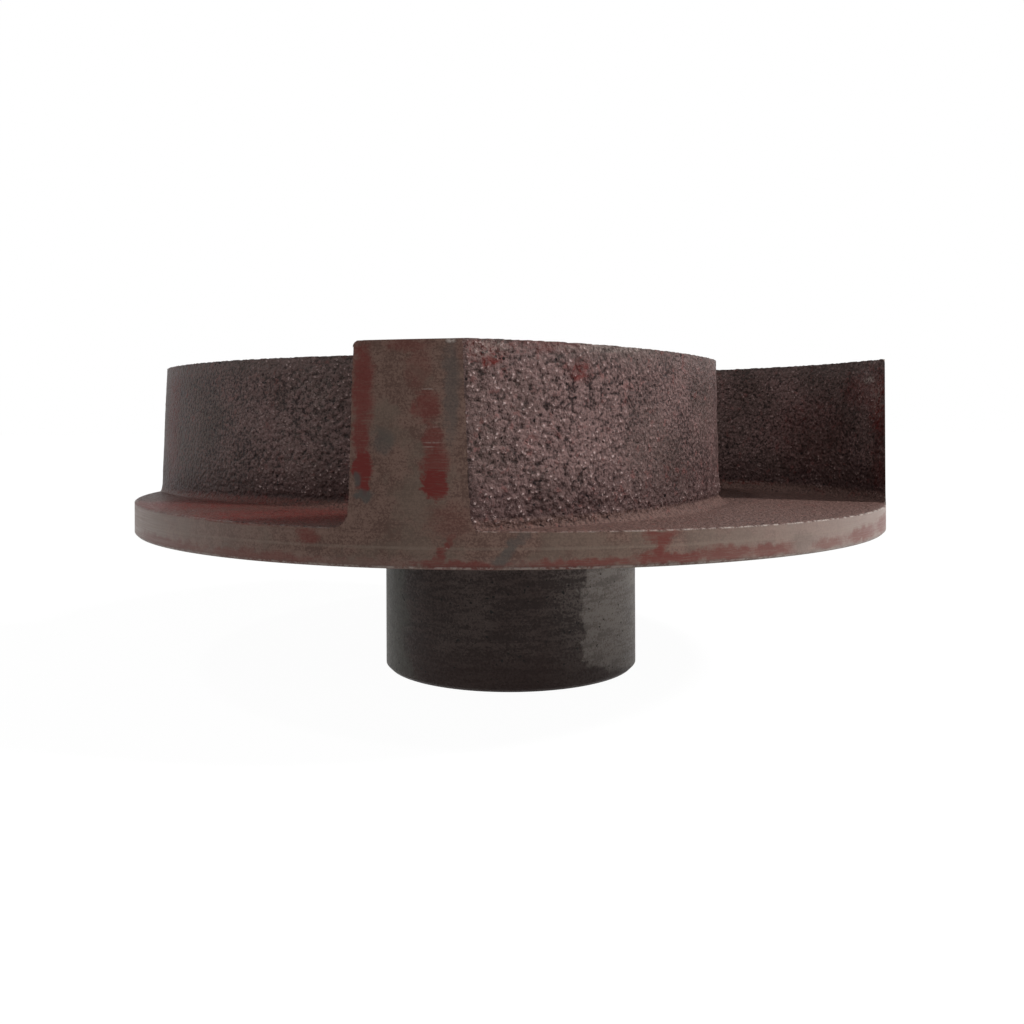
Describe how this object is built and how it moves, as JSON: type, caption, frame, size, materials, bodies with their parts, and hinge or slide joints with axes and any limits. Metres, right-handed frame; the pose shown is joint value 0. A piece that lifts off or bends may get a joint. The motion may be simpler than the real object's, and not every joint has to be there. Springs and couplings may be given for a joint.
{
  "type": "pump impeller",
  "caption": "Semi-open pump impeller with backward-curved vanes on a round back plate, a long keyed hub and a flat-faced nose, cast in iron.",
  "frame": {"origin": "centre of the hub's end face, on the shaft axis", "axes": "+Z along the shaft axis from the hub's end towards the vanes and the pump's inlet; the keyway is on +Y"},
  "size_m": [0.178, 0.178, 0.0742],
  "materials": {
    "casting": "sand-cast, primed dark red-brown, with turned grey-brown rim, vane tips and bore"
  },
  "bodies": {
    "root": {"impeller": "casting"}
  },
  "joints": []
}
